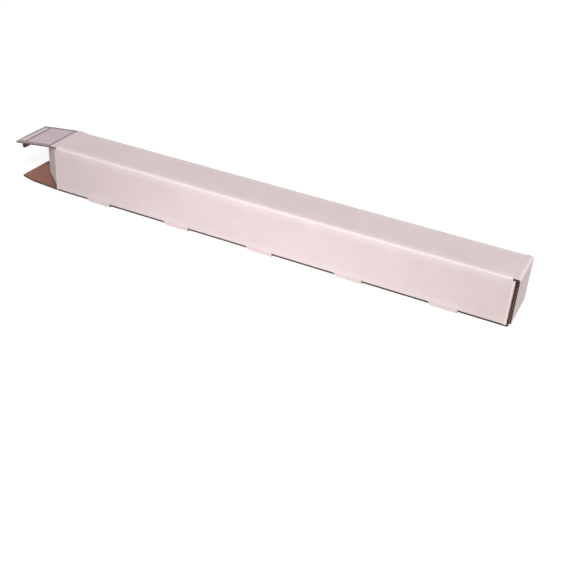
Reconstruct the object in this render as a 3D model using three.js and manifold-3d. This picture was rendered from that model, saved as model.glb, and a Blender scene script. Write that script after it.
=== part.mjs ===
// A long self-locking mailer box, folded from one sheet of single-wall corrugated board.
//
// Millimetres, +Z up. X runs along the box, the front panel faces -Y, and the origin is the
// middle of the outer bottom panel's underside. The right end (+X) is closed and the left end
// (-X) stands open: its lid reaches out level, its bottom flap lies out flat, and its two
// dust flaps are half folded in.
//
// Round the section the sheet runs: inner bottom, front, top, back, outer bottom. Hooked tabs
// on the outer bottom's free edge stand up through slots beside the front panel's bottom
// crease, and lips left on the front panel cover each slot from outside.

import * as THREE from "three";
import { mergeVertices } from "three/addons/utils/BufferGeometryUtils.js";
import Module from "manifold-3d";

const wasm = await Module();
wasm.setup();

// Board and section
const BOARD = 3; // thickness of the corrugated board
const LAYER_GAP = 0.3; // air between two layers that lie on each other
const OUTER_WIDTH = 80;
const OUTER_HEIGHT = 83.3;
const BOTTOM_GAP = 1.3; // the inner bottom springs this far off the outer one
const INSIDE_LENGTH = 788; // between the dust flaps of the two ends
const FOLD_RADIUS = 1.9; // of the board's middle layer round a fold
const FOLD_STEPS = 5; // straight pieces in a fold of a right angle
const INNER_BOTTOM_WIDTH = 65; // the layer that the front panel carries in under the goods
const INNER_BOTTOM_SETBACK = 28; // from each end of the front panel
const FREE_EDGE_SETBACK = 5; // outer bottom's cut edge and its tabs, behind the front face

// Lips and hooked tabs along the front's bottom edge
const LOCK_COUNT = 5;
const LOCK_PITCH = 153;
const LOCK_SHIFT = -5; // middle lock from the middle of the box
const LIP_WIDTH = 47; // at the crease
const LIP_CHAMFER = 6; // slanted left side of each lip
const LIP_FLOOR_GAP = 0.3;
const SLOT_END_GAP = 0.6; // slot past the lip's right side
const TAB_SIDE_PLAY = 1.5; // tab to the end of its slot
const TAB_REACH = 20.5; // top of a tab above the floor
const TAB_TAPER = 5;
const HOOK_LENGTH = 4.5; // hook past the slot's right end
const HOOK_DEPTH = 3;
const SLOT_BACK_PLAY = 0.7; // slot behind the tab

// End flaps
const DUST_FLAP_LENGTH = 38.5;
const DUST_FLAP_FOOT = 5; // lower end of the fold, above the floor
const DUST_FLAP_STEP = 8; // lower edge starts this much higher past the fold
const DUST_FLAP_RISE = 9; // and climbs this much towards the free edge
const DUST_FLAP_DROP = 2.2; // upper edge falls this much towards the free edge
const DUST_FLAP_HEAD_PLAY = 1; // under the top panel
const LEFT_DUST_OPENING = 54; // degrees that the left dust flaps stand off the closed plane
const BOTTOM_FLAP_HEAD_PLAY = 1.5; // closed bottom flap under the top panel
const BOTTOM_FLAP_SIDE = 1; // bottom flap narrower than the box, on the back side
const BOTTOM_FLAP_CORNER_LENGTH = 25; // slanted corner, on the front side only
const BOTTOM_FLAP_CORNER_WIDTH = 5;
const LEFT_BOTTOM_RISE = 3.5; // degrees that the open bottom flap springs up
const LID_CLEARANCE = 0.6; // closed lid off the bottom flap behind it
const LID_SIDE = 0.4; // lid narrower than the box, each side
const HINGE_PLAY = 0.2; // mitred edges stand this far back from the fold line
const LEFT_LID_OPENING = 83; // degrees from closed at rest

// Tuck tab on each lid, its finger slot, and the slit in the bottom crease that takes the tab
const TUCK_WIDTH = 45;
const TUCK_LENGTH = 16; // past the lid's inner face
const TUCK_CORNER = 2;
const TUCK_HEIGHT = 6; // underside of the closed tab above the floor
const TUCK_SLOT_LENGTH = 24;
const TUCK_SLOT_WIDTH = 4;
const TUCK_SLOT_INSET = 7; // middle of the slot from the lid's inner face
const SLIT_FOOT = 2.2; // lower edge of the slit from the bottom flap's fold
const SLIT_SIDE_PLAY = 1.5;
const SLIT_HEAD_PLAY = 1.4;

// Places worked out from the sizes above
const HALF_WIDTH = OUTER_WIDTH / 2;
const FRONT = -HALF_WIDTH;
const FRONT_END = INSIDE_LENGTH / 2 + BOARD; // front and back panels end here
const BOTTOM_FLAP_FACE = FRONT_END + LAYER_GAP + BOARD; // outer face, closed
const LID_FACE = BOTTOM_FLAP_FACE + LID_CLEARANCE + BOARD; // outer face, closed
const INNER_BOTTOM_Z = BOARD + BOTTOM_GAP;
const INNER_BOTTOM_TOP = INNER_BOTTOM_Z + BOARD;
const MID_GAP = BOARD + BOTTOM_GAP / 2; // halfway between the two bottom layers
const HALF_BOARD = BOARD / 2;
const WRAP_END = FRONT_END - HALF_BOARD - FOLD_RADIUS - 0.6; // just short of the dust flaps' folds
const CUT_MARGIN = 1; // cutters reach this far past what they cut

const whiteBoard = new THREE.MeshStandardMaterial({ color: 0xe4dcd9, roughness: 0.62, metalness: 0 });

// Turns a closed three.js geometry into a solid that can be joined and cut.
function solid(geometry) {
  const bare = geometry.index ? geometry.toNonIndexed() : geometry.clone();
  bare.deleteAttribute("normal");
  bare.deleteAttribute("uv");
  const merged = mergeVertices(bare, 1e-4);
  const mesh = new wasm.Mesh({
    numProp: 3,
    vertProperties: merged.attributes.position.array,
    triVerts: new Uint32Array(merged.index.array),
  });
  return new wasm.Manifold(mesh);
}

// Turns a solid back into a three.js geometry with flat faces.
function geometryOf(shape) {
  const { numProp, vertProperties, triVerts } = shape.getMesh();
  const positions = new Float32Array(triVerts.length * 3);
  triVerts.forEach((vertex, i) => {
    positions.set(vertProperties.subarray(vertex * numProp, vertex * numProp + 3), i * 3);
  });
  const geometry = new THREE.BufferGeometry();
  geometry.setAttribute("position", new THREE.BufferAttribute(positions, 3));
  geometry.computeVertexNormals();
  return geometry;
}

// Extrudes an outline between two places along its third direction. place turns a point given
// as (first, second, third) into (x, y, z), and may swap or tilt the directions.
function prism(outline, from, to, place) {
  const shape = outline instanceof THREE.Shape ? outline : new THREE.Shape(outline);
  const geometry = new THREE.ExtrudeGeometry(shape, { depth: 1, bevelEnabled: false });
  const zero = new THREE.Vector3(...place(0, 0, 0));
  const [a, b, c] = [
    [1, 0, 0],
    [0, 1, 0],
    [0, 0, 1],
  ].map((step) => new THREE.Vector3(...place(...step)).sub(zero));
  const mirrored = a.cross(b).dot(c) < 0;
  const [low, high] = mirrored ? [to, from] : [from, to];
  const position = geometry.attributes.position;
  for (let i = 0; i < position.count; i++) {
    const third = position.getZ(i) > 0.5 ? high : low;
    position.setXYZ(i, ...place(position.getX(i), position.getY(i), third));
  }
  return solid(geometry);
}

// Outlines in Y and Z run along X, those in X and Z along Y, and those in X and Y along Z.
const alongX = (outline, x0, x1) => prism(outline, x0, x1, (y, z, x) => [x, y, z]);
const alongY = (outline, y0, y1) => prism(outline, y0, y1, (x, z, y) => [x, y, z]);
const alongZ = (outline, z0, z1) => prism(outline, z0, z1, (x, y, z) => [x, y, z]);

function points(pairs) {
  return pairs.map(([a, b]) => new THREE.Vector2(a, b));
}

function block(x0, x1, y0, y1, z0, z1) {
  const corners = points([
    [x0, y0],
    [x1, y0],
    [x1, y1],
    [x0, y1],
  ]);
  return alongZ(corners, z0, z1);
}

// Rounds the inner corners of a line, as board bends round its creases.
function foldedLine(corners) {
  const line = [corners[0]];
  for (let i = 1; i < corners.length - 1; i++) {
    const corner = corners[i];
    const back = corners[i - 1].clone().sub(corner).normalize();
    const ahead = corners[i + 1].clone().sub(corner).normalize();
    const halfAngle = Math.acos(THREE.MathUtils.clamp(back.dot(ahead), -1, 1)) / 2;
    const centre = back.clone().add(ahead).setLength(FOLD_RADIUS / Math.sin(halfAngle)).add(corner);
    const tangent = FOLD_RADIUS / Math.tan(halfAngle);
    const start = corner.clone().addScaledVector(back, tangent).sub(centre);
    const end = corner.clone().addScaledVector(ahead, tangent).sub(centre);
    const turn = Math.atan2(start.cross(end), start.dot(end));
    const steps = Math.ceil((Math.abs(turn) / (Math.PI / 2)) * FOLD_STEPS - 0.01);
    for (let step = 0; step <= steps; step++) {
      const spoke = start.clone().rotateAround(new THREE.Vector2(), (turn * step) / steps);
      line.push(spoke.add(centre));
    }
  }
  line.push(corners[corners.length - 1]);
  return line;
}

// The section of board whose middle layer follows a line, folded at each of its corners.
function boardSection(pairs) {
  const line = foldedLine(points(pairs));
  const left = [];
  const right = [];
  line.forEach((point, i) => {
    const before = i > 0 ? point.clone().sub(line[i - 1]).normalize() : null;
    const after = i < line.length - 1 ? line[i + 1].clone().sub(point).normalize() : null;
    const first = before ?? after;
    const second = after ?? before;
    const sideways = new THREE.Vector2(-first.y - second.y, first.x + second.x).normalize();
    const reach = HALF_BOARD / sideways.dot(new THREE.Vector2(-first.y, first.x));
    left.push(point.clone().addScaledVector(sideways, reach));
    right.push(point.clone().addScaledVector(sideways, -reach));
  });
  return [...right, ...left.reverse()];
}

// The wrapped sheet in section: outer bottom, back, top, front and inner bottom in one line.
function wrapSection() {
  const low = HALF_BOARD;
  const high = OUTER_HEIGHT - HALF_BOARD;
  const side = HALF_WIDTH - HALF_BOARD;
  return boardSection([
    [FRONT + FREE_EDGE_SETBACK, low],
    [side, low],
    [side, high],
    [-side, high],
    [-side, INNER_BOTTOM_Z + HALF_BOARD],
    [FRONT + INNER_BOTTOM_WIDTH, INNER_BOTTOM_Z + HALF_BOARD],
  ]);
}

// The left edges of the lips, counted from the left end.
function lockPlaces() {
  const first = LOCK_SHIFT - (LOCK_PITCH * (LOCK_COUNT - 1)) / 2 - LIP_WIDTH / 2;
  return Array.from({ length: LOCK_COUNT }, (_, i) => first + i * LOCK_PITCH);
}

// Cuts each slot, then adds its lip on the front panel and its hooked tab on the outer bottom.
function addLocks(sheet) {
  const behindFront = FRONT + BOARD;
  const tabFace = FRONT + FREE_EDGE_SETBACK;
  const hookFoot = INNER_BOTTOM_TOP + LAYER_GAP;
  const lipTop = INNER_BOTTOM_Z + HALF_BOARD + FOLD_RADIUS;
  let locked = sheet;
  for (const left of lockPlaces()) {
    const right = left + LIP_WIDTH;
    const slotBack = tabFace + BOARD + SLOT_BACK_PLAY;
    const slotEnd = right + SLOT_END_GAP;
    const slot = block(left, slotEnd, FRONT - CUT_MARGIN, slotBack, MID_GAP, lipTop + CUT_MARGIN);
    const lip = alongY(
      points([
        [left, lipTop + CUT_MARGIN],
        [left, LIP_FLOOR_GAP + LIP_CHAMFER],
        [left + LIP_CHAMFER, LIP_FLOOR_GAP],
        [right, LIP_FLOOR_GAP],
        [right, lipTop + CUT_MARGIN],
      ]),
      FRONT,
      behindFront,
    );
    const tabLeft = left + TAB_SIDE_PLAY;
    const tabRight = right - TAB_SIDE_PLAY / 2;
    const tab = alongY(
      points([
        [tabLeft, BOARD],
        [tabRight, BOARD],
        [tabRight, hookFoot],
        [tabRight + HOOK_LENGTH, hookFoot],
        [tabRight + HOOK_LENGTH, hookFoot + HOOK_DEPTH],
        [tabRight - TAB_TAPER, TAB_REACH],
        [tabLeft + TAB_TAPER, TAB_REACH],
      ]),
      tabFace,
      tabFace + BOARD,
    );
    locked = locked.subtract(slot).add(lip).add(tab);
  }
  return locked;
}

// One dust flap. end is +1 for the right end and -1 for the left, side -1 for the front panel
// and +1 for the back, and opening the degrees that it stands off the closed plane.
function dustFlap(end, side, opening) {
  const angle = THREE.MathUtils.degToRad(opening);
  const reach = DUST_FLAP_LENGTH - HALF_BOARD;
  const fold = new THREE.Vector2(end * (FRONT_END - HALF_BOARD), side * (HALF_WIDTH - HALF_BOARD));
  const ahead = new THREE.Vector2(end * Math.sin(angle), -side * Math.cos(angle));
  const off = new THREE.Vector2(-ahead.y, ahead.x);
  const tip = fold.clone().addScaledVector(ahead, reach);
  const section = boardSection([[end * WRAP_END, fold.y], fold.toArray(), tip.toArray()]);
  const head = OUTER_HEIGHT - BOARD - DUST_FLAP_HEAD_PLAY;
  const onFlap = (along, z, out) => {
    const at = fold.clone().addScaledVector(ahead, along).addScaledVector(off, out);
    return [at.x, at.y, z];
  };
  const squareTo = FOLD_RADIUS + HALF_BOARD;
  const past = reach + CUT_MARGIN;
  const foot = points([
    [squareTo, DUST_FLAP_FOOT + DUST_FLAP_STEP],
    [squareTo, DUST_FLAP_FOOT - CUT_MARGIN],
    [past, DUST_FLAP_FOOT - CUT_MARGIN],
    [past, DUST_FLAP_FOOT + DUST_FLAP_STEP + DUST_FLAP_RISE],
  ]);
  const crown = points([
    [squareTo, head],
    [past, head - DUST_FLAP_DROP],
    [past, head + CUT_MARGIN],
    [squareTo, head + CUT_MARGIN],
  ]);
  return alongZ(section, DUST_FLAP_FOOT, head)
    .subtract(prism(foot, -BOARD, BOARD, onFlap))
    .subtract(prism(crown, -BOARD, BOARD, onFlap));
}

// The outer bottom past the front panel's end, with the bottom flap that grows from it.
// opening is the degrees from closed; the slit near the fold lets the lid's tab in.
function bottomFlap(end, opening) {
  const angle = THREE.MathUtils.degToRad(opening);
  const foldX = BOTTOM_FLAP_FACE - HALF_BOARD;
  const front = FRONT + FREE_EDGE_SETBACK;
  const back = HALF_WIDTH - BOTTOM_FLAP_SIDE;
  const length = OUTER_HEIGHT - BOARD - BOTTOM_FLAP_HEAD_PLAY - HALF_BOARD;
  // A place on the flap: along it from its fold, across it, and out from its middle layer.
  const onFlap = (along, y, out) => {
    const x = foldX + along * Math.sin(angle) + out * Math.cos(angle);
    return [end * x, y, HALF_BOARD + along * Math.cos(angle) - out * Math.sin(angle)];
  };
  const [tipX, , tipZ] = onFlap(length, 0, 0);
  const section = boardSection([
    [end * WRAP_END, HALF_BOARD],
    [end * foldX, HALF_BOARD],
    [tipX, tipZ],
  ]);
  const slitHalf = TUCK_WIDTH / 2 + SLIT_SIDE_PLAY;
  const slitHead = TUCK_HEIGHT + BOARD + SLIT_HEAD_PLAY - HALF_BOARD;
  const slit = points([
    [SLIT_FOOT, -slitHalf],
    [slitHead, -slitHalf],
    [slitHead, slitHalf],
    [SLIT_FOOT, slitHalf],
  ]);
  const corner = points([
    [length - BOTTOM_FLAP_CORNER_LENGTH, front],
    [length + CUT_MARGIN, front + BOTTOM_FLAP_CORNER_WIDTH],
    [length + CUT_MARGIN, front - CUT_MARGIN],
    [length - BOTTOM_FLAP_CORNER_LENGTH, front - CUT_MARGIN],
  ]);
  return alongY(section, front, back)
    .subtract(prism(slit, -BOARD, BOARD, onFlap))
    .subtract(prism(corner, -BOARD, BOARD, onFlap));
}

// The top past the front panel's end, mitred where the lid folds.
function topEnd(end) {
  const foldLine = LID_FACE - HINGE_PLAY;
  const half = HALF_WIDTH - LID_SIDE;
  const under = OUTER_HEIGHT - BOARD;
  const outline = points([
    [end * WRAP_END, under],
    [end * (foldLine - BOARD), under],
    [end * foldLine, OUTER_HEIGHT],
    [end * WRAP_END, OUTER_HEIGHT],
  ]);
  return alongY(outline, -half, half);
}

// The whole sheet apart from its two lids.
function boxBody() {
  const innerEnd = FRONT_END - INNER_BOTTOM_SETBACK;
  let sheet = alongX(wrapSection(), -WRAP_END, WRAP_END);
  for (const [x0, x1] of [
    [-FRONT_END, -innerEnd],
    [innerEnd, FRONT_END],
  ]) {
    const innerEdge = FRONT + INNER_BOTTOM_WIDTH + CUT_MARGIN;
    sheet = sheet.subtract(block(x0, x1, FRONT + BOARD, innerEdge, MID_GAP, INNER_BOTTOM_TOP + CUT_MARGIN));
  }
  sheet = addLocks(sheet);
  for (const end of [-1, 1]) {
    const opened = end < 0;
    sheet = sheet.add(topEnd(end)).add(bottomFlap(end, opened ? 90 - LEFT_BOTTOM_RISE : 0));
    for (const side of [-1, 1]) {
      sheet = sheet.add(dustFlap(end, side, opened ? LEFT_DUST_OPENING : 0));
    }
  }
  return sheet;
}

// A lid closed on the right end, with the origin on its fold line.
function lid() {
  const half = HALF_WIDTH - LID_SIDE;
  const tuckFold = OUTER_HEIGHT - TUCK_HEIGHT - HALF_BOARD;
  const tuckTip = TUCK_LENGTH + BOARD;
  const section = boardSection([
    [-HALF_BOARD, -HINGE_PLAY],
    [-HALF_BOARD, -tuckFold],
    [-tuckTip, -tuckFold],
  ]);
  const mitre = points([
    [CUT_MARGIN, CUT_MARGIN - HINGE_PLAY],
    [-BOARD - CUT_MARGIN, -HINGE_PLAY - BOARD - CUT_MARGIN],
    [-BOARD - CUT_MARGIN, CUT_MARGIN],
  ]);
  let sheet = alongY(section, -half, half).subtract(alongY(mitre, -half - CUT_MARGIN, half + CUT_MARGIN));
  // Across the tab: cut its sides and corners, then its finger slot.
  const tuckHalf = TUCK_WIDTH / 2;
  const onTuck = (along, y, z) => [-along, y, z];
  const under = -tuckFold - BOARD;
  const over = -tuckFold + HALF_BOARD + FOLD_RADIUS + BOARD;
  for (const side of [-1, 1]) {
    const shoulder = points([
      [BOARD + LAYER_GAP, side * tuckHalf],
      [tuckTip - TUCK_CORNER, side * tuckHalf],
      [tuckTip + CUT_MARGIN, side * (tuckHalf - TUCK_CORNER - CUT_MARGIN)],
      [tuckTip + CUT_MARGIN, side * (half + CUT_MARGIN)],
      [BOARD + LAYER_GAP, side * (half + CUT_MARGIN)],
    ]);
    const foldRest = block(
      -BOARD - LAYER_GAP,
      CUT_MARGIN,
      side < 0 ? -half - CUT_MARGIN : tuckHalf,
      side < 0 ? -tuckHalf : half + CUT_MARGIN,
      under,
      -tuckFold + HALF_BOARD,
    );
    sheet = sheet.subtract(prism(shoulder, under, over, onTuck)).subtract(foldRest);
  }
  const slotMiddle = TUCK_SLOT_INSET + BOARD;
  const slotRadius = TUCK_SLOT_WIDTH / 2;
  const slotEnd = TUCK_SLOT_LENGTH / 2 - slotRadius;
  const slot = new THREE.Shape();
  slot.absarc(slotMiddle, slotEnd, slotRadius, 0, Math.PI, false);
  slot.absarc(slotMiddle, -slotEnd, slotRadius, Math.PI, 2 * Math.PI, false);
  slot.closePath();
  return sheet.subtract(prism(slot, under, over, onTuck));
}

const lidGeometry = geometryOf(lid());

// A lid hung on its fold line, open by so many degrees.
function hangLid(name, end, opening) {
  const mesh = new THREE.Mesh(lidGeometry, whiteBoard);
  mesh.name = name;
  mesh.rotation.y = -THREE.MathUtils.degToRad(opening);
  const fold = new THREE.Group();
  fold.rotation.z = end > 0 ? 0 : Math.PI;
  fold.position.set(end * LID_FACE, 0, OUTER_HEIGHT);
  fold.add(mesh);
  return fold;
}

const body = new THREE.Mesh(geometryOf(boxBody()), whiteBoard);
body.name = "box_body";

const mailerBox = new THREE.Group();
mailerBox.add(body);
mailerBox.add(hangLid("right_lid_flap", 1, 0));
mailerBox.add(hangLid("left_lid_flap", -1, LEFT_LID_OPENING));

export default mailerBox;
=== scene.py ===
# %% [markdown]
# # A long self-locking mailer box
# The real box is one die-cut sheet of corrugated board: a white liner outside, a brown liner
# inside and a wavy paper between them. Everything here is folded from that same flat sheet.
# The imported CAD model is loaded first, because it fixes every size and every hinge.

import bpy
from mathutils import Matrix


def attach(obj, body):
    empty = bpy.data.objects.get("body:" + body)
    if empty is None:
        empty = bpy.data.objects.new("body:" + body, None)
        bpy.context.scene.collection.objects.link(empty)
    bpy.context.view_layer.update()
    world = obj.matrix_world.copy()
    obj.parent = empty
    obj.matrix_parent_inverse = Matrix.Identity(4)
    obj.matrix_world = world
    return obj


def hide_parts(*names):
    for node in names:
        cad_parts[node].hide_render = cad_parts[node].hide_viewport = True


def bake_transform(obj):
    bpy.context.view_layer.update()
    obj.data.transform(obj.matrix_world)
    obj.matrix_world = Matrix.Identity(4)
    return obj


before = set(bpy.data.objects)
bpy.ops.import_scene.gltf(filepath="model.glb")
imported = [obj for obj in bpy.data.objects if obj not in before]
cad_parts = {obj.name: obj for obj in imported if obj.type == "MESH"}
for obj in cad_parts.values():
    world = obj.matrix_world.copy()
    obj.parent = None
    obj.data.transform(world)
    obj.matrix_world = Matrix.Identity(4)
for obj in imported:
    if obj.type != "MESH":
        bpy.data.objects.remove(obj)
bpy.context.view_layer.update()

# %% Tools from Python and Blender
import math

import bpy
import bmesh
import numpy as np
from mathutils import Matrix, Vector, noise
from mathutils.geometry import delaunay_2d_cdt

scene = bpy.context.scene
scene.view_settings.view_transform = "Standard"
print("view transform:", scene.view_settings.view_transform)

# %% [markdown]
# ## Camera
# The picture was taken with a moderately long lens, a little to the right of the box and
# above it. Its place and turn could be set by eye and nudged, but here they were solved from
# the box's own corners, so the way it looks and its right-hand side are given as they came
# out, a slight roll included.

# %% The camera
EYE = Vector((0.57133, -1.2278, 0.76141))
LOOK = Vector((-0.34049, 0.77741, -0.52887)).normalized()
RIGHT = Vector((0.8967, 0.43768, 0.06605))

right = (RIGHT - LOOK * RIGHT.dot(LOOK)).normalized()
up = right.cross(LOOK)
camera_data = bpy.data.cameras.new("photo_camera")
camera_data.sensor_width = 36.0
camera_data.lens = 59.985
camera_data.clip_start = 0.01
camera_data.clip_end = 60.0
camera = bpy.data.objects.new("photo_camera", camera_data)
scene.collection.objects.link(camera)
turn = Matrix((right, up, -LOOK)).transposed().to_4x4()
camera.matrix_world = Matrix.Translation(EYE) @ turn
scene.camera = camera
print("camera lens:", camera_data.lens, "mm")

# %% [markdown]
# ## Floor
# The box lies on a plain white floor. A bright white floor would throw too much light back
# up at the box, so the floor itself is grey. What the camera sees of it is lifted to white
# without any light on the box: the extra glow exists only for camera, mirror and glass rays.

# %% A plain white floor
def shader_tree(name):
    material = bpy.data.materials.new(name)
    material.use_nodes = True
    tree = material.node_tree
    tree.nodes.clear()
    return material, tree


def camera_rays(tree):
    path = tree.nodes.new("ShaderNodeLightPath")
    first = tree.nodes.new("ShaderNodeMath")
    first.operation = "MAXIMUM"
    second = tree.nodes.new("ShaderNodeMath")
    second.operation = "MAXIMUM"
    tree.links.new(path.outputs["Is Camera Ray"], first.inputs[0])
    tree.links.new(path.outputs["Is Glossy Ray"], first.inputs[1])
    tree.links.new(first.outputs[0], second.inputs[0])
    tree.links.new(path.outputs["Is Transmission Ray"], second.inputs[1])
    return second.outputs[0]


FLOOR_GREY = (0.34, 0.34, 0.34, 1)
FLOOR_GLOW = 0.8
FLOOR_HALF = 12.0
FLOOR_DROP = 0.0004
floor_material, tree = shader_tree("white_floor")
diffuse = tree.nodes.new("ShaderNodeBsdfDiffuse")
diffuse.inputs["Color"].default_value = FLOOR_GREY
glow = tree.nodes.new("ShaderNodeEmission")
glow.inputs["Color"].default_value = (1, 1, 1, 1)
strength = tree.nodes.new("ShaderNodeMath")
strength.operation = "MULTIPLY"
strength.inputs[1].default_value = FLOOR_GLOW
tree.links.new(camera_rays(tree), strength.inputs[0])
tree.links.new(strength.outputs[0], glow.inputs["Strength"])
both = tree.nodes.new("ShaderNodeAddShader")
tree.links.new(diffuse.outputs[0], both.inputs[0])
tree.links.new(glow.outputs[0], both.inputs[1])
out = tree.nodes.new("ShaderNodeOutputMaterial")
tree.links.new(both.outputs[0], out.inputs["Surface"])

floor_mesh = bpy.data.meshes.new("floor")
s = FLOOR_HALF
floor_mesh.from_pydata([(-s, -s, 0), (s, -s, 0), (s, s, 0), (-s, s, 0)], [], [(0, 1, 2, 3)])
floor = bpy.data.objects.new("floor", floor_mesh)
floor.location.z = -FLOOR_DROP
scene.collection.objects.link(floor)
floor_mesh.materials.append(floor_material)
print("floor:", 2 * FLOOR_HALF, "m square")

# %% [markdown]
# ## Light
# White board shows its shape only by small steps of brightness. The sky gives the shade its
# level, and is darker on the left, so the half-folded flaps of the open end stay in shade. A
# high soft key lamp at the front right makes the front a little brighter than the top. A
# second, weak spot spreads a pool of light over the front's middle.

# %% The sky, darker on the left
world = bpy.data.worlds.new("studio_sky")
scene.world = world
world.use_nodes = True
tree = world.node_tree
tree.nodes.clear()
sky = tree.nodes.new("ShaderNodeBackground")
sky.inputs["Color"].default_value = (1.0, 0.985, 0.975, 1)
direction = tree.nodes.new("ShaderNodeTexCoord")
split = tree.nodes.new("ShaderNodeSeparateXYZ")
tree.links.new(direction.outputs["Generated"], split.inputs[0])
side = tree.nodes.new("ShaderNodeMapRange")
side.interpolation_type = "SMOOTHSTEP"
side.inputs["From Min"].default_value = -0.9
side.inputs["From Max"].default_value = 0.5
side.inputs["To Min"].default_value = 0.08
side.inputs["To Max"].default_value = 0.68
tree.links.new(split.outputs[0], side.inputs["Value"])
tree.links.new(side.outputs[0], sky.inputs["Strength"])
white = tree.nodes.new("ShaderNodeBackground")
white.inputs["Color"].default_value = (1, 1, 1, 1)
white.inputs["Strength"].default_value = 1.0
mix = tree.nodes.new("ShaderNodeMixShader")
out = tree.nodes.new("ShaderNodeOutputWorld")
tree.links.new(camera_rays(tree), mix.inputs["Fac"])
tree.links.new(sky.outputs[0], mix.inputs[1])
tree.links.new(white.outputs[0], mix.inputs[2])
tree.links.new(mix.outputs[0], out.inputs["Surface"])
print("sky strength:", side.inputs["To Min"].default_value, "to", side.inputs["To Max"].default_value)

# %% The key lamp and the pool of light
def hang_lamp(data, place, target):
    lamp = bpy.data.objects.new(data.name, data)
    lamp.location = place
    aim = Vector(target) - Vector(place)
    lamp.rotation_euler = aim.to_track_quat("-Z", "Y").to_euler()
    scene.collection.objects.link(lamp)


key = bpy.data.lights.new("key_lamp", "AREA")
key.shape = "DISK"
key.size = 1.0
key.energy = 122
key.color = (1.0, 0.96, 0.965)
hang_lamp(key, place=(1.75, -2.8, 3.05), target=(0, 0, 0.03))

pool = bpy.data.lights.new("pool_lamp", "SPOT")
pool.energy = 111
pool.color = (1.0, 0.95, 0.975)
pool.spot_size = math.radians(21)
pool.spot_blend = 1.0
pool.shadow_soft_size = 0.25
hang_lamp(pool, place=(0.1, -2.6, 0.45), target=(0.03, -0.04, 0.03))

# %% [markdown]
# ## The sheet's sizes
# These are the CAD part's own values, in millimetres. The sheet's middle layer is what gets
# folded: a place on the flat sheet is (around, along), where *around* runs round the
# section from the inner bottom to the outer bottom and *along* runs down the box.

# %% Sizes in millimetres
MM = 0.001
BOARD = 3.0
HALF = BOARD / 2
LAYER_GAP = 0.3
BOTTOM_GAP = 1.3
WIDTH = 80.0
HEIGHT = 83.3
INSIDE_LENGTH = 788
FOLD_RADIUS = 1.9
FOLD_MARGIN = 0.6
LID_CLEARANCE = 0.6
FRONT = -WIDTH / 2
FRONT_END = INSIDE_LENGTH / 2 + BOARD
WRAP_END = FRONT_END - HALF - FOLD_RADIUS - FOLD_MARGIN
FLAP_FACE = FRONT_END + LAYER_GAP + BOARD
LID_FACE = FLAP_FACE + LID_CLEARANCE + BOARD
INNER_Z = BOARD + BOTTOM_GAP
FREE_EDGE_SETBACK = 5.0
INNER_WIDTH = 65.0
print("lid folds", round(2 * LID_FACE, 1), "mm apart")

# %% [markdown]
# ## Folding
# A corner of real board isn't sharp: it bends over a small radius. `FoldLine` takes the
# corners of a line, rounds each one, and answers for any distance along it where the
# middle layer is and which way it heads. The same class folds the section, the flaps and
# the lids, so all of them bend alike.

# %% A line that bends round its corners
ARC_STEPS = 8


class FoldLine:
    def __init__(self, corners, radius=FOLD_RADIUS):
        self.spans = []  # (start distance, length, start point, heading, turn)
        self.bends = []  # (start distance, end distance) of each bend
        corners = [Vector(c) for c in corners]
        at, place = 0.0, corners[0]
        for i in range(1, len(corners)):
            ahead = (corners[i] - corners[i - 1]).normalized()
            stop = corners[i]
            turn, cut = 0.0, 0.0
            if i < len(corners) - 1:
                after = (corners[i + 1] - corners[i]).normalized()
                turn = math.atan2(ahead.x * after.y - ahead.y * after.x, ahead.dot(after))
                cut = radius * math.tan(abs(turn) / 2)
                stop = corners[i] - ahead * cut
            length = (stop - place).length
            heading = math.atan2(ahead.y, ahead.x)
            self.spans.append((at, length, place.copy(), heading, 0.0))
            at += length
            place = stop
            if turn:
                self.spans.append((at, radius * abs(turn), place.copy(), heading, turn))
                self.bends.append((at, at + radius * abs(turn)))
                at += radius * abs(turn)
                place = corners[i] + after * cut
        self.length = at
        self.radius = radius

    def at(self, distance):
        """Point and heading of the middle layer at a distance along the line."""
        span = self.spans[0]
        for candidate in self.spans:
            if distance >= candidate[0] - 1e-9:
                span = candidate
        start, length, place, heading, turn = span
        step = distance - start
        if not turn:
            return place + Vector((math.cos(heading), math.sin(heading))) * step, heading
        sign = 1 if turn > 0 else -1
        centre = place + Vector((-math.sin(heading), math.cos(heading))) * self.radius * sign
        heading += sign * step / self.radius
        out = Vector((math.sin(heading), -math.cos(heading))) * self.radius * sign
        return centre + out, heading

    def lines(self):
        """Distances at which a mesh line helps the bends to look round."""
        found = []
        for start, end in self.bends:
            found += [start + (end - start) * k / ARC_STEPS for k in range(ARC_STEPS + 1)]
        return found


section = FoldLine([
    (FRONT + INNER_WIDTH, INNER_Z + HALF),
    (FRONT + HALF, INNER_Z + HALF),
    (FRONT + HALF, HEIGHT - HALF),
    (-FRONT - HALF, HEIGHT - HALF),
    (-FRONT - HALF, HALF),
    (FRONT + FREE_EDGE_SETBACK, HALF),
])
PANELS = ("inner_bottom", "front", "top", "back", "bottom")
PANEL_SPAN = {}
edges = [0.0] + [(a + b) / 2 for a, b in section.bends] + [section.length]
for name, low, high in zip(PANELS, edges, edges[1:]):
    PANEL_SPAN[name] = (low, high)
print({k: [round(v, 1) for v in s] for k, s in PANEL_SPAN.items()})

# %% [markdown]
# Each end of a panel can carry a flap. Its path starts where the wrapped tube ends and is
# drawn in two directions: away along the box, and in towards the box's middle.

# %% Paths of the end flaps
DUST_LENGTH = 38.5
LEFT_DUST_OPENING = 54.0
LEFT_BOTTOM_RISE = 3.5
BOTTOM_HEAD_PLAY = 1.5
FLAP_LENGTH = HEIGHT - BOARD - BOTTOM_HEAD_PLAY - HALF


def flap_path(fold_at, angle, length):
    a = math.radians(angle)
    tip = (fold_at + math.cos(a) * length, math.sin(a) * length)
    return FoldLine([(0, 0), (fold_at, 0), tip])


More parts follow.
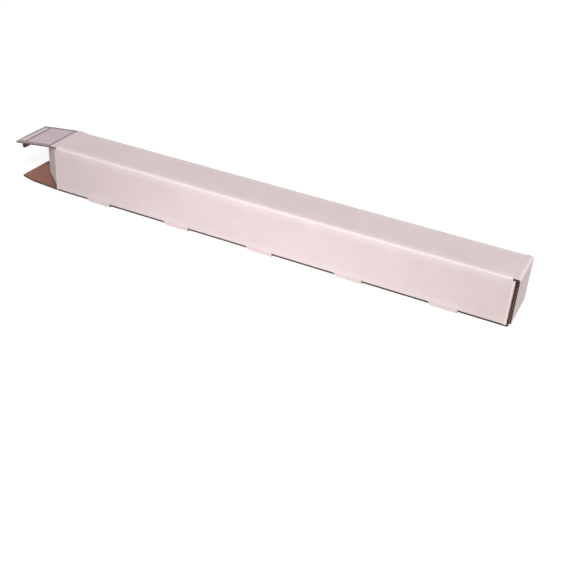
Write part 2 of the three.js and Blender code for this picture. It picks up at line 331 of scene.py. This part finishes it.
dust_fold = FRONT_END - HALF - WRAP_END
bottom_fold = FLAP_FACE - HALF - WRAP_END
PATHS = {
    (1, "front"): flap_path(dust_fold, 90, DUST_LENGTH - HALF),
    (1, "back"): flap_path(dust_fold, 90, DUST_LENGTH - HALF),
    (1, "bottom"): flap_path(bottom_fold, 90, FLAP_LENGTH),
    (-1, "front"): flap_path(dust_fold, 90 - LEFT_DUST_OPENING, DUST_LENGTH - HALF),
    (-1, "back"): flap_path(dust_fold, 90 - LEFT_DUST_OPENING, DUST_LENGTH - HALF),
    (-1, "bottom"): flap_path(bottom_fold, LEFT_BOTTOM_RISE, FLAP_LENGTH),
}
print("flap paths:", {k: round(p.length, 1) for k, p in PATHS.items()})

# %% Where a place on the flat sheet goes when folded
FRONT_FLAT, BACK_FLAT, BOTTOM_FLAT = section.bends[0][1], section.bends[2][1], section.bends[3][1]
TOP_MIDDLE = sum(PANEL_SPAN["top"]) / 2
LOW_Z = INNER_Z + HALF + FOLD_RADIUS
HIGH_Z = HEIGHT - HALF - FOLD_RADIUS
SIDE_Y = -FRONT - HALF - FOLD_RADIUS


def panel_of(around):
    for name, (low, high) in PANEL_SPAN.items():
        if around <= high:
            return name
    return PANELS[-1]


def flap_of(around):
    if around > section.bends[3][0]:
        return "bottom"
    return "front" if around < PANEL_SPAN["front"][1] else panel_of(around)


def flat_spot(panel, around):
    """Place of a flap's foot across its panel, and the panel's outward direction."""
    if panel == "front":
        return Vector((0, FRONT + HALF, LOW_Z + around - FRONT_FLAT)), Vector((0, -1, 0))
    if panel == "back":
        return Vector((0, -FRONT - HALF, HIGH_Z - around + BACK_FLAT)), Vector((0, 1, 0))
    if panel == "top":
        return Vector((0, around - TOP_MIDDLE, HEIGHT - HALF)), Vector((0, 0, 1))
    return Vector((0, SIDE_Y - around + BOTTOM_FLAT, HALF)), Vector((0, 0, -1))


def fold(around, along, panel=None, path=None):
    """Point and outward normal of the folded sheet's middle layer, in millimetres."""
    end = 1 if along > 0 else -1
    if path is None and abs(along) <= WRAP_END + 1e-4:
        spot, heading = section.at(around)
        outward = Vector((0, -math.sin(heading), math.cos(heading)))
        return Vector((along, spot.x, spot.y)), outward
    panel = panel or flap_of(around)
    path = path or PATHS[(end, panel)]
    base, outward = flat_spot(panel, around)
    place, angle = path.at(max(abs(along) - WRAP_END, 0))
    point = base + Vector((end * (WRAP_END + place.x), 0, 0)) - outward * place.y
    return point, outward * math.cos(angle) + Vector((end, 0, 0)) * math.sin(angle)


probe = fold(PANEL_SPAN["front"][0] + 40, 0)
print("front panel: point", [round(v, 2) for v in probe[0]], "normal", [round(v, 2) for v in probe[1]])

# %% [markdown]
# ## From a flat outline to board
# The flat sheet is drawn as outlines with cut-outs and filled with triangles whose edges
# keep to every fold line (a constrained Delaunay mesh). Each point then gives two: one on
# the white liner and one on the brown liner. A band round every cut edge closes the board.
# A plain Solidify would do nearly the same, but this way each point keeps its place on the
# flat sheet as its UV, so the flutes can run true across folds and along cut edges.

# %% Fill a flat outline with triangles
WELD = 1e-4


def inside(point, polygon):
    x, y = point
    hit = False
    for (x0, y0), (x1, y1) in zip(polygon, polygon[1:] + polygon[:1]):
        if (y0 > y) != (y1 > y) and x < (x1 - x0) * (y - y0) / (y1 - y0) + x0:
            hit = not hit
    return hit


def fill_flat(outlines, holes, around_lines, along_lines):
    places, edges = [], []

    def add_loop(loop):
        first = len(places)
        places.extend(loop)
        n = len(loop)
        edges.extend((first + i, first + (i + 1) % n) for i in range(n))

    for loop in outlines + holes:
        add_loop(loop)
    us = [p[0] for p in places]
    vs = [p[1] for p in places]
    for u in around_lines:
        first = len(places)
        places.extend([(u, min(vs)), (u, max(vs))])
        edges.append((first, first + 1))
    for v in along_lines:
        first = len(places)
        places.extend([(min(us), v), (max(us), v)])
        edges.append((first, first + 1))
    result = delaunay_2d_cdt([Vector(p) for p in places], edges, [], 0, WELD)
    verts, faces = result[0], result[2]
    kept = []
    for face in faces:
        cx = sum(verts[i].x for i in face) / len(face)
        cy = sum(verts[i].y for i in face) / len(face)
        if any(inside((cx, cy), o) for o in outlines) and not any(inside((cx, cy), h) for h in holes):
            kept.append(face)
    return verts, kept


# %% Give the filled outline its thickness
SHARP_TURN = 0.6


def board_mesh(name, verts, faces, folder):
    """folder(around, along) gives the middle layer's point and normal in millimetres."""
    mesh = bmesh.new()
    uv = mesh.loops.layers.uv.new("sheet")
    crease = mesh.verts.layers.float.new("crease")
    used = sorted({i for f in faces for i in f})
    outer, inner = {}, {}
    for i in used:
        u, v = verts[i]
        point, normal, bend = folder(u, v)
        outer[i] = mesh.verts.new((point + normal * HALF) * MM)
        inner[i] = mesh.verts.new((point - normal * HALF) * MM)
        outer[i][crease] = inner[i][crease] = bend

    def face(corners, places, index):
        made = mesh.faces.new(corners)
        made.material_index = index
        made.smooth = True
        for loop, place in zip(made.loops, places):
            loop[uv].uv = place
        return made

    count = {}
    for f in faces:
        flat = [tuple(verts[i]) for i in f]
        p = [outer[i].co for i in f]
        q = folder(*flat[0])[1]
        ordered = f if (p[1] - p[0]).cross(p[2] - p[0]).dot(q) > 0 else f[::-1]
        places = [tuple(Vector(verts[i]) * MM) for i in ordered]
        face([outer[i] for i in ordered], places, 0)
        face([inner[i] for i in ordered[::-1]], places[::-1], 1)
        for k in range(3):
            edge = (ordered[k], ordered[(k + 1) % 3])
            key = tuple(sorted(edge))
            count.setdefault(key, []).append(edge)
    for uses in count.values():
        if len(uses) == 1:
            a, b = uses[0]
            ua, ub = verts[a].y * MM, verts[b].y * MM
            corners = [outer[b], outer[a], inner[a], inner[b]]
            face(corners, [(ub, 1), (ua, 1), (ua, 0), (ub, 0)], 2)
    bmesh.ops.recalc_face_normals(mesh, faces=mesh.faces[:])
    for e in mesh.edges:
        kinds = {f.material_index for f in e.link_faces}
        if len(kinds) > 1 or (2 in kinds and e.calc_face_angle(0) > SHARP_TURN):
            e.smooth = False
    data = bpy.data.meshes.new(name)
    mesh.to_mesh(data)
    mesh.free()
    return data


def add_board(name, data):
    thing = bpy.data.objects.new(name, data)
    scene.collection.objects.link(thing)
    return thing


# %% [markdown]
# ## The main sheet
# Tube, dust flaps and bottom flaps are one outline. Panels of real board aren't quite
# flat: between their folds they sag inwards by a few tenths of a millimetre, unevenly, and
# that is what makes soft light wander over them.

# %% Bends and the slight sag of the panels
SAG_DEPTH = 0.55
SAG_FADE = 30
SAG_WAVES = (130, 60)
NOISE_SLICE = 3.7
FOLD_BAND = 2


def bend_amount(distance, line, reach=0.6):
    """1 inside a bend, falling to 0 a little way outside it."""
    best = 0.0
    for start, end in line.bends:
        gap = max(start - distance, distance - end, 0.0)
        best = max(best, 1 - gap / reach)
    return best


def sag(around, along):
    name = panel_of(around)
    low, high = PANEL_SPAN[name]
    if name in ("inner_bottom", "bottom") or abs(along) > WRAP_END:
        return 0.0
    across = math.sin(math.pi * min(max((around - low) / (high - low), 0), 1)) ** 2
    ends = min(1.0, (WRAP_END - abs(along)) / SAG_FADE)
    spot = Vector((along / SAG_WAVES[0], around / SAG_WAVES[1], NOISE_SLICE))
    waver = 0.5 + 0.5 * noise.noise(spot)
    return SAG_DEPTH * across * ends * waver


def fold_sheet(around, along):
    point, normal = fold(around, along)
    bend = bend_amount(around, section)
    if abs(along) > WRAP_END - FOLD_BAND:
        end = 1 if along > 0 else -1
        path = PATHS.get((end, flap_of(around)))
        if path:
            bend = max(bend, bend_amount(abs(along) - WRAP_END, path))
    return point - normal * sag(around, along), normal, bend


# %% Outlines of the flaps
DUST_FOOT, DUST_STEP, DUST_RISE, DUST_DROP = 5.0, 8.0, 9.0, 2.2
DUST_HEAD_PLAY = 1
BOTTOM_CORNER_LENGTH, BOTTOM_CORNER_WIDTH = 25, 5
BOTTOM_SIDE_PLAY = 1
SLIT_HALF, SLIT_DEPTH, SLIT_PAST_FOLD = 24.0, 6.7, 0.6


def at_height(panel, z):
    """Distance round the section of a height on the front or back panel."""
    if panel == "front":
        return FRONT_FLAT + (z - LOW_Z)
    return BACK_FLAT + (HIGH_Z - z)


def at_depth(y):
    """Distance round the section of a place across the outer bottom."""
    return BOTTOM_FLAT + (SIDE_Y - y)


def dust_outline(end, panel):
    reach = WRAP_END + PATHS[(end, panel)].length
    square = WRAP_END + PATHS[(end, panel)].bends[0][1]
    head = HEIGHT - BOARD - DUST_HEAD_PLAY
    step = DUST_FOOT + DUST_STEP
    pairs = [(DUST_FOOT, WRAP_END), (DUST_FOOT, square), (step, square), (step + DUST_RISE, reach),
             (head - DUST_DROP, reach), (head, square), (head, WRAP_END)]
    return [(at_height(panel, z), end * v) for z, v in pairs]


def bottom_outline(end):
    reach = WRAP_END + PATHS[(end, "bottom")].length
    near_y, far_y = FRONT + FREE_EDGE_SETBACK, WIDTH / 2 - BOTTOM_SIDE_PLAY
    pairs = [(near_y, WRAP_END), (near_y, reach - BOTTOM_CORNER_LENGTH),
             (near_y + BOTTOM_CORNER_WIDTH, reach), (far_y, reach), (far_y, WRAP_END)]
    return [(at_depth(y), end * v) for y, v in pairs]


def slit_outline(end):
    foot = WRAP_END + PATHS[(end, "bottom")].bends[0][1] + SLIT_PAST_FOLD
    head = foot + SLIT_DEPTH
    pairs = [(-SLIT_HALF, foot), (-SLIT_HALF, head), (SLIT_HALF, head), (SLIT_HALF, foot)]
    return [(at_depth(y), end * v) for y, v in pairs]


# %% Outline of the whole sheet
INNER_SETBACK = 28
inner_end = FRONT_END - INNER_SETBACK
inner_fold = section.bends[0][0]
outlines = [[(0, -inner_end), (inner_fold, -inner_end), (inner_fold, -WRAP_END),
             (section.length, -WRAP_END), (section.length, WRAP_END), (inner_fold, WRAP_END),
             (inner_fold, inner_end), (0, inner_end)]]
holes = []
for end in (-1, 1):
    outlines += [dust_outline(end, "front"), dust_outline(end, "back"), bottom_outline(end)]
    holes.append(slit_outline(end))
print(len(outlines), "outlines,", len(holes), "slits")

# %% [markdown]
# The five locks lie along the front's bottom fold. At each one a slot is cut across the
# fold. The lip that came out of the slot stays flat in the front panel and hides a hooked
# tab of the outer bottom, which stands up through the slot behind it.

# %% Slots of the five locks
LOCK_COUNT, LOCK_PITCH, LOCK_SHIFT = 5, 153.0, -5.0
LIP_WIDTH, LIP_CHAMFER, LIP_FLOOR_GAP = 47.0, 6.0, 0.3
SLOT_BACK_PLAY, SLOT_END_GAP = 0.7, 0.6
lock_lefts = [LOCK_SHIFT - LOCK_PITCH * (LOCK_COUNT - 1) / 2 - LIP_WIDTH / 2 + i * LOCK_PITCH
              for i in range(LOCK_COUNT)]
fold_top = section.bends[0][1]
slot_back = FRONT + FREE_EDGE_SETBACK + BOARD + SLOT_BACK_PLAY
slot_foot = section.at(0)[0].x - slot_back
for left in lock_lefts:
    slot_end = left + LIP_WIDTH + SLOT_END_GAP
    holes.append([(slot_foot, left), (fold_top, left), (fold_top, slot_end), (slot_foot, slot_end)])
print("locks at", [round(x) for x in lock_lefts])

# %% Fold the main sheet
LINES_ROUND_PANEL, LINES_ALONG = 7, 67
around_lines = section.lines()
for name, (low, high) in PANEL_SPAN.items():
    around_lines += list(np.linspace(low, high, LINES_ROUND_PANEL)[1:-1])
along_lines = list(np.linspace(-WRAP_END, WRAP_END, LINES_ALONG))
for end in (-1, 1):
    for panel in ("front", "bottom"):
        along_lines += [end * (WRAP_END + d) for d in PATHS[(end, panel)].lines()]
verts, faces = fill_flat(outlines, holes, around_lines, along_lines)
body_mesh = board_mesh("folded_board", verts, faces, fold_sheet)
folded_board = add_board("folded_board", body_mesh)
print("folded board:", len(body_mesh.vertices), "points,", len(body_mesh.polygons), "faces")

# %% [markdown]
# Lips and tabs are short flat plates. They use the same board builder with a folder that
# doesn't bend at all, and are joined to the main sheet as one object.

# %% Lips and hooked tabs
TAB_SIDE_PLAY, TAB_HOOK_PLAY = 1.5, 0.75
TAB_REACH, TAB_TAPER = 20.5, 5
HOOK_LENGTH, HOOK_DEPTH = 4.5, 3


def flat_plate(name, outline, to_point, normal):
    verts, faces = fill_flat([outline], [], [], [])
    return board_mesh(name, verts, faces, lambda a, b: (to_point(a, b), normal, 0.0))


def on_front(z, x):
    return Vector((x, FRONT + HALF, z))


def on_tab(z, x):
    return Vector((x, FRONT + FREE_EDGE_SETBACK + HALF, z))


lock_plates = []
outward = Vector((0, -1, 0))
for n, left in enumerate(lock_lefts):
    right_side = left + LIP_WIDTH
    lip = [(LOW_Z, left), (LIP_FLOOR_GAP + LIP_CHAMFER, left),
           (LIP_FLOOR_GAP, left + LIP_CHAMFER), (LIP_FLOOR_GAP, right_side), (LOW_Z, right_side)]
    lock_plates.append(flat_plate(f"lip_{n}", lip, on_front, outward))
    a, b = left + TAB_SIDE_PLAY, right_side - TAB_HOOK_PLAY
    hook = INNER_Z + BOARD + LAYER_GAP
    tab = [(BOARD, a), (BOARD, b), (hook, b), (hook, b + HOOK_LENGTH), (hook + HOOK_DEPTH, b + HOOK_LENGTH),
           (TAB_REACH, b - TAB_TAPER), (TAB_REACH, a + TAB_TAPER)]
    lock_plates.append(flat_plate(f"tab_{n}", tab, on_tab, outward))

joined = bmesh.new()
for data in [body_mesh] + lock_plates:
    joined.from_mesh(data)
joined.to_mesh(body_mesh)
joined.free()
print("with locks:", len(body_mesh.polygons), "faces")

# %% [markdown]
# ## The lids
# A lid and the last few millimetres of the top panel are one strip, so that its crease bends like board.
# The right lid is closed; the left one stands open and droops a little below level. Each ends in a narrower
# tuck tab with a finger slot.

# %% Shape of a lid
TUCK_WIDTH, TUCK_LENGTH, TUCK_CORNER, TUCK_HEIGHT = 45.0, 16.0, 2.0, 6.0
SLOT_LENGTH, SLOT_WIDTH, SLOT_INSET = 24.0, 4.0, 7.0
LEFT_LID_OPENING = 83.0
LID_SIDE_PLAY = 0.4
LID_HALF = WIDTH / 2 - LID_SIDE_PLAY
SLOT_ARC_STEPS = 12


def lid_path(opening):
    """Level top, crease, lid and tuck tab, drawn along the box and in towards its middle."""
    turn = math.radians(90 - opening)
    back_off = HALF * math.tan(turn / 2)
    crease = LID_FACE - WRAP_END - back_off
    lid_length = HEIGHT - TUCK_HEIGHT - HALF - back_off
    way = Vector((math.cos(turn), math.sin(turn)))
    side = Vector((-way.y, way.x))
    elbow = Vector((crease, 0)) + way * lid_length
    tip = elbow + side * (TUCK_LENGTH + HALF)
    return FoldLine([(0, 0), (crease, 0), tuple(elbow), tuple(tip)])


def lid_outline(path):
    shoulder = WRAP_END + path.bends[1][0]
    end = WRAP_END + path.length
    t = TUCK_WIDTH / 2
    half = [(LID_HALF, WRAP_END), (LID_HALF, shoulder), (t, shoulder),
            (t, end - TUCK_CORNER), (t - TUCK_CORNER, end)]
    return half + [(-y, v) for y, v in reversed(half)]


def finger_slot(path):
    middle = WRAP_END + path.length - (TUCK_LENGTH - SLOT_INSET)
    r, reach = SLOT_WIDTH / 2, SLOT_LENGTH / 2 - SLOT_WIDTH / 2
    angles = [math.pi * k / SLOT_ARC_STEPS for k in range(SLOT_ARC_STEPS + 1)]
    far_end = [(reach + r * math.sin(a), middle + r * math.cos(a)) for a in angles]
    near_end = [(-reach - r * math.sin(a), middle - r * math.cos(a)) for a in angles]
    return far_end + near_end


# %% Fold both lids
LINES_DOWN_LID, LINES_ACROSS_LID = 24, 15


def on_sheet(loop, end):
    return [(TOP_MIDDLE + y, end * v) for y, v in loop]


def make_lid(name, end, opening):
    path = lid_path(opening)
    outline = on_sheet(lid_outline(path), end)
    slot = on_sheet(finger_slot(path), end)
    lines = [end * (WRAP_END + d) for d in path.lines()]
    lines += [end * (WRAP_END + d) for d in np.linspace(0, path.length, LINES_DOWN_LID)[1:-1]]
    across = [TOP_MIDDLE + y for y in np.linspace(-LID_HALF, LID_HALF, LINES_ACROSS_LID)[1:-1]]
    verts, faces = fill_flat([outline], [slot], across, lines)

    def fold_lid(around, along):
        point, normal = fold(around, along, "top", path)
        return point, normal, bend_amount(abs(along) - WRAP_END, path)

    return add_board(name, board_mesh(name, verts, faces, fold_lid))


right_lid = make_lid("right_lid", 1, 0)
left_lid = make_lid("left_lid", -1, LEFT_LID_OPENING)
for lid in (right_lid, left_lid):
    print(lid.name, len(lid.data.polygons), "faces")

# %% [markdown]
# ## Paper and board finishes
# Three kinds of finish cover the box. White liner: a matte, faintly pink white with cloudy fibre mottling,
# faint painted light and shade stripes over the flutes, and a painted highlight along its folds, partly
# worn fibres. Brown liner: the same with kraft colours, stronger painted flute stripes and darker folds.
# Cut edge: two thin liners and the wavy paper between them, with painted shade in the hollows elsewhere. A
# picture of board would repeat along so long a box, so each finish is drawn by nodes, and what they share
# is built once as node groups.

# %% Helpers for node groups
def new_group(name, inputs, outputs):
    group = bpy.data.node_groups.new(name, "ShaderNodeTree")
    for label, kind, value in inputs:
        socket = group.interface.new_socket(label, in_out="INPUT", socket_type=kind)
        if value is not None:
            socket.default_value = value
    for label, kind in outputs:
        group.interface.new_socket(label, in_out="OUTPUT", socket_type=kind)
    start = group.nodes.new("NodeGroupInput")
    stop = group.nodes.new("NodeGroupOutput")
    return group, start, stop


def math_node(tree, operation, a, b=None):
    node = tree.nodes.new("ShaderNodeMath")
    node.operation = operation
    for socket, value in zip(node.inputs, (a, b)):
        if value is None:
            continue
        if isinstance(value, (int, float)):
            socket.default_value = value
        else:
            tree.links.new(value, socket)
    return node.outputs[0]


def mix_colour(tree, factor, a, b):
    node = tree.nodes.new("ShaderNodeMix")
    node.data_type = "RGBA"
    for socket, value in ((node.inputs[0], factor), (node.inputs[6], a), (node.inputs[7], b)):
        if isinstance(value, (int, float, tuple)):
            socket.default_value = value
        else:
            tree.links.new(value, socket)
    return node.outputs[2]


# %% Group: flute waves from a place on the sheet
FLUTE_PITCH = 0.0064
flutes, start, stop = new_group(
    "flute_wave",
    [("Sheet", "NodeSocketVector", None), ("Pitch", "NodeSocketFloat", FLUTE_PITCH)],
    [("Wave", "NodeSocketFloat")],
)
split = flutes.nodes.new("ShaderNodeSeparateXYZ")
flutes.links.new(start.outputs["Sheet"], split.inputs[0])
turns = math_node(flutes, "DIVIDE", split.outputs[1], start.outputs["Pitch"])
angle = math_node(flutes, "MULTIPLY", turns, 2 * math.pi)
flutes.links.new(math_node(flutes, "SINE", angle), stop.inputs["Wave"])
print("flute pitch:", FLUTE_PITCH * 1000, "mm")

# %% Group: cloudy mottling and fibres of paper
paper, start, stop = new_group(
    "paper_mottle",
    [("Cloud Size", "NodeSocketFloat", 22.0), ("Fibre Size", "NodeSocketFloat", 900.0)],
    [("Cloud", "NodeSocketFloat"), ("Fibre", "NodeSocketFloat")],
)
where = paper.nodes.new("ShaderNodeTexCoord")
cloud = paper.nodes.new("ShaderNodeTexNoise")
cloud.inputs["Detail"].default_value = 4
paper.links.new(where.outputs["Object"], cloud.inputs["Vector"])
paper.links.new(start.outputs["Cloud Size"], cloud.inputs["Scale"])
stretch = paper.nodes.new("ShaderNodeMapping")
stretch.inputs["Scale"].default_value = (0.35, 1, 1)
paper.links.new(where.outputs["Object"], stretch.inputs["Vector"])
fibre = paper.nodes.new("ShaderNodeTexNoise")
fibre.inputs["Detail"].default_value = 6
fibre.inputs["Roughness"].default_value = 0.65
paper.links.new(stretch.outputs[0], fibre.inputs["Vector"])
paper.links.new(start.outputs["Fibre Size"], fibre.inputs["Scale"])
paper.links.new(cloud.outputs[0], stop.inputs["Cloud"])
paper.links.new(fibre.outputs[0], stop.inputs["Fibre"])

# %% Group: a band along the creases, where the liners take their crease colour
crease_band_group, start, stop = new_group(
    "crease_band",
    [("Amount", "NodeSocketFloat", 0.5), ("Breakup", "NodeSocketFloat", 350.0)],
    [("Mask", "NodeSocketFloat")],
)
crease = crease_band_group.nodes.new("ShaderNodeAttribute")
crease.attribute_name = "crease"
where = crease_band_group.nodes.new("ShaderNodeTexCoord")
grain = crease_band_group.nodes.new("ShaderNodeTexNoise")
grain.inputs["Detail"].default_value = 3
crease_band_group.links.new(where.outputs["Object"], grain.inputs["Vector"])
crease_band_group.links.new(start.outputs["Breakup"], grain.inputs["Scale"])
patchy = math_node(crease_band_group, "MULTIPLY", crease.outputs["Fac"], math_node(crease_band_group, "ADD", grain.outputs[0], 0.35))
crease_band_group.links.new(math_node(crease_band_group, "MULTIPLY", patchy, start.outputs["Amount"]), stop.inputs["Mask"])
print("groups:", [g.name for g in bpy.data.node_groups])

# %% White and brown liners
CLOUD_TONE, FIBRE_TONE = 0.75, 0.35
FLUTE_RELIEF, FIBRE_RELIEF = 0.5, 0.35


def use_group(tree, group, **values):
    node = tree.nodes.new("ShaderNodeGroup")
    node.node_tree = group
    for label, value in values.items():
        node.inputs[label.replace("_", " ")].default_value = value
    return node


def liner(name, dark, light, crease_colour, crease_band_strength, flute_stripe_shade, roughness, printed=None):
    material, tree = shader_tree(name)
    mottle = use_group(tree, paper)
    wave = use_group(tree, flutes)
    sheet = tree.nodes.new("ShaderNodeUVMap")
    sheet.uv_map = "sheet"
    tree.links.new(sheet.outputs[0], wave.inputs["Sheet"])
    crease_band_node = use_group(tree, crease_band_group, Amount=crease_band_strength)
    tone = math_node(tree, "ADD", math_node(tree, "MULTIPLY", mottle.outputs["Cloud"], CLOUD_TONE),
                     math_node(tree, "MULTIPLY", mottle.outputs["Fibre"], FIBRE_TONE))
    # The flute wave added to the tone paints faint light and shade stripes over the flute ridges.
    tone = math_node(tree, "ADD", tone, math_node(tree, "MULTIPLY", wave.outputs["Wave"], flute_stripe_shade))
    colour = mix_colour(tree, tone, dark, light)
    # Along the creases the colour moves to crease_colour: on the white liner a painted highlight on the
    # rounded folds, partly worn fibres; on the brown liner darker along the folds.
    colour = mix_colour(tree, crease_band_node.outputs["Mask"], colour, crease_colour)
    if printed:
        colour = printed(tree, sheet.outputs[0], colour)
    skin = tree.nodes.new("ShaderNodeBsdfPrincipled")
    skin.inputs["Roughness"].default_value = roughness
    skin.inputs["Specular IOR Level"].default_value = 0.3
    tree.links.new(colour, skin.inputs["Base Color"])
    height = math_node(tree, "ADD", math_node(tree, "MULTIPLY", wave.outputs["Wave"], FLUTE_RELIEF),
                       math_node(tree, "MULTIPLY", mottle.outputs["Fibre"], FIBRE_RELIEF))
    bump = tree.nodes.new("ShaderNodeBump")
    bump.inputs["Strength"].default_value = 0.35
    bump.inputs["Distance"].default_value = 0.00012
    tree.links.new(height, bump.inputs["Height"])
    tree.links.new(bump.outputs[0], skin.inputs["Normal"])
    out = tree.nodes.new("ShaderNodeOutputMaterial")
    tree.links.new(skin.outputs[0], out.inputs["Surface"])
    return material


# White crease colour: a painted highlight along the rounded folds, partly worn fibres. Brown crease colour:
# darker along the folds.
WHITE_PAPER = {"dark": (0.66, 0.55, 0.54, 1), "light": (0.80, 0.695, 0.695, 1),
               "crease_colour": (0.86, 0.79, 0.77, 1), "crease_band_strength": 0.55, "flute_stripe_shade": 0.02, "roughness": 0.62}
BROWN_PAPER = {"dark": (0.26, 0.115, 0.085, 1), "light": (0.45, 0.225, 0.17, 1),
               "crease_colour": (0.20, 0.10, 0.075, 1), "crease_band_strength": 0.6, "flute_stripe_shade": 0.05, "roughness": 0.78}
white_liner = liner("white_liner", **WHITE_PAPER)
brown_liner = liner("brown_liner", **BROWN_PAPER)
print("liners:", white_liner.name, brown_liner.name)

# %% [markdown]
# A cut edge shows how the board is made. Its UV holds the place along the box and the
# height through the board, so one sine curve draws the wavy middle paper on every edge:
# as waves where the cut runs along the box and as a plain line where it runs across. The open lid's edge is
# a paler copy painted as if lit, so its hollows are paler and greyer.

# %% Cut edges
WAVE_SWING = 0.34
MEDIUM_HALF = 0.07
LINER_HALF = 0.075
EDGE_WHITE = (0.66, 0.56, 0.54, 1)


def near(tree, value, centre, width):
    """1 on a line of this half width, fading to 0 at twice that."""
    gap = math_node(tree, "ABSOLUTE", math_node(tree, "SUBTRACT", value, centre))
    ramp = tree.nodes.new("ShaderNodeMapRange")
    ramp.interpolation_type = "SMOOTHSTEP"
    ramp.inputs["From Min"].default_value = width
    ramp.inputs["From Max"].default_value = width * 2
    ramp.inputs["To Min"].default_value = 1
    ramp.inputs["To Max"].default_value = 0
    tree.links.new(gap, ramp.inputs["Value"])
    return ramp.outputs[0]


def edge_material(name, hollow_shade, hollow_shade_pale, medium_colour, brown):
    material, tree = shader_tree(name)
    sheet = tree.nodes.new("ShaderNodeUVMap")
    sheet.uv_map = "sheet"
    parts = tree.nodes.new("ShaderNodeSeparateXYZ")
    tree.links.new(sheet.outputs[0], parts.inputs[0])
    swap = tree.nodes.new("ShaderNodeCombineXYZ")
    tree.links.new(parts.outputs[0], swap.inputs[1])
    wave = use_group(tree, flutes)
    tree.links.new(swap.outputs[0], wave.inputs["Sheet"])
    middle = math_node(tree, "ADD", math_node(tree, "MULTIPLY", wave.outputs["Wave"], WAVE_SWING), 0.5)
    medium = near(tree, parts.outputs[1], middle, MEDIUM_HALF)
    white_line = near(tree, parts.outputs[1], 1.0, LINER_HALF)
    brown_line = near(tree, parts.outputs[1], 0.0, LINER_HALF)
    mottle = use_group(tree, paper)
    # The hollows between the papers are painted shade.
    colour = mix_colour(tree, mottle.outputs["Fibre"], hollow_shade, hollow_shade_pale)
    colour = mix_colour(tree, medium, colour, medium_colour)
    colour = mix_colour(tree, brown_line, colour, brown)
    colour = mix_colour(tree, white_line, colour, EDGE_WHITE)
    skin = tree.nodes.new("ShaderNodeBsdfPrincipled")
    skin.inputs["Roughness"].default_value = 0.85
    skin.inputs["Specular IOR Level"].default_value = 0.15
    tree.links.new(colour, skin.inputs["Base Color"])
    solid = math_node(tree, "MAXIMUM", medium, math_node(tree, "MAXIMUM", white_line, brown_line))
    bump = tree.nodes.new("ShaderNodeBump")
    bump.inputs["Strength"].default_value = 0.8
    bump.inputs["Distance"].default_value = 0.0006
    tree.links.new(solid, bump.inputs["Height"])
    tree.links.new(bump.outputs[0], skin.inputs["Normal"])
    out = tree.nodes.new("ShaderNodeOutputMaterial")
    tree.links.new(skin.outputs[0], out.inputs["Surface"])
    return material


# The board's own edge colours, with painted shade in the hollows.
shaded_cut_edge = edge_material("shaded_cut_edge", hollow_shade=(0.03, 0.017, 0.014, 1), hollow_shade_pale=(0.07, 0.04, 0.034, 1),
                         medium_colour=(0.27, 0.17, 0.14, 1), brown=(0.22, 0.13, 0.10, 1))
# A paler copy of the cut edge, painted as if lit, for the open lid.
lit_edge = edge_material("lit_cut_edge", hollow_shade=(0.14, 0.10, 0.095, 1),
                            hollow_shade_pale=(0.24, 0.18, 0.17, 1),
                            medium_colour=(0.42, 0.33, 0.31, 1), brown=(0.34, 0.24, 0.21, 1))
print("edges:", shaded_cut_edge.name, lit_edge.name)

# %% [markdown]
# The open lid carries a plain printed frame: a grey outline near its edges, one rule that
# sets off a narrow band at the free end, and a pale lilac tint in the larger field. It is
# drawn from the lid's own place on the flat sheet, so it stays put when the lid moves.

# %% Printed frame on the open lid
PRINT_GREY = (0.22, 0.19, 0.20, 1)
PRINT_TINT = (0.64, 0.515, 0.59, 1)
frame_from = (LID_FACE + 3.5) * MM
frame_to = (LID_FACE + 72.5) * MM
rule_at = (LID_FACE + 57.5) * MM
frame_side = 36.3 * MM
LINE = 1.6 * MM
TINT_STRENGTH, INK_STRENGTH = 0.75, 0.85


def within(tree, value, low, high):
    above = math_node(tree, "GREATER_THAN", value, low)
    below = math_node(tree, "LESS_THAN", value, high)
    return math_node(tree, "MULTIPLY", above, below)


def printed_frame(tree, sheet, colour):
    split = tree.nodes.new("ShaderNodeSeparateXYZ")
    tree.links.new(sheet, split.inputs[0])
    across = math_node(tree, "ABSOLUTE", math_node(tree, "SUBTRACT", split.outputs[0], TOP_MIDDLE * MM))
    down = math_node(tree, "MULTIPLY", split.outputs[1], -1.0)
    in_across = math_node(tree, "LESS_THAN", across, frame_side + LINE)
    in_down = within(tree, down, frame_from - LINE, frame_to + LINE)
    field = math_node(tree, "MULTIPLY", in_across, within(tree, down, frame_from, rule_at))
    lines = None
    for value, centre, allowed in ((across, frame_side, in_down), (down, frame_from, in_across),
                                   (down, frame_to, in_across), (down, rule_at, in_across)):
        line = math_node(tree, "MULTIPLY", near(tree, value, centre, LINE), allowed)
        lines = line if lines is None else math_node(tree, "MAXIMUM", lines, line)
    tinted = mix_colour(tree, math_node(tree, "MULTIPLY", field, TINT_STRENGTH), colour, PRINT_TINT)
    return mix_colour(tree, math_node(tree, "MULTIPLY", lines, INK_STRENGTH), tinted, PRINT_GREY)


printed_liner = liner("printed_white_liner", printed=printed_frame, **WHITE_PAPER)
print("printed frame from", round(frame_from, 4), "to", round(frame_to, 4), "m along the box")

# %% Put the finishes on
finishes = {folded_board: (white_liner, brown_liner, shaded_cut_edge),
            right_lid: (white_liner, brown_liner, shaded_cut_edge),
            left_lid: (printed_liner, brown_liner, lit_edge)}
for thing, materials in finishes.items():
    for material in materials:
        thing.data.materials.append(material)
print("finished pieces:", [thing.name for thing in finishes])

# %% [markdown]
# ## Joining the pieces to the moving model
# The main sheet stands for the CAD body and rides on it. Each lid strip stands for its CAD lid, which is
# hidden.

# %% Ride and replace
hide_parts("box_body")
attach(folded_board, "box")
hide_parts("right_lid_flap")
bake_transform(right_lid)
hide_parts("left_lid_flap")
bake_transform(left_lid)
print("pieces placed")
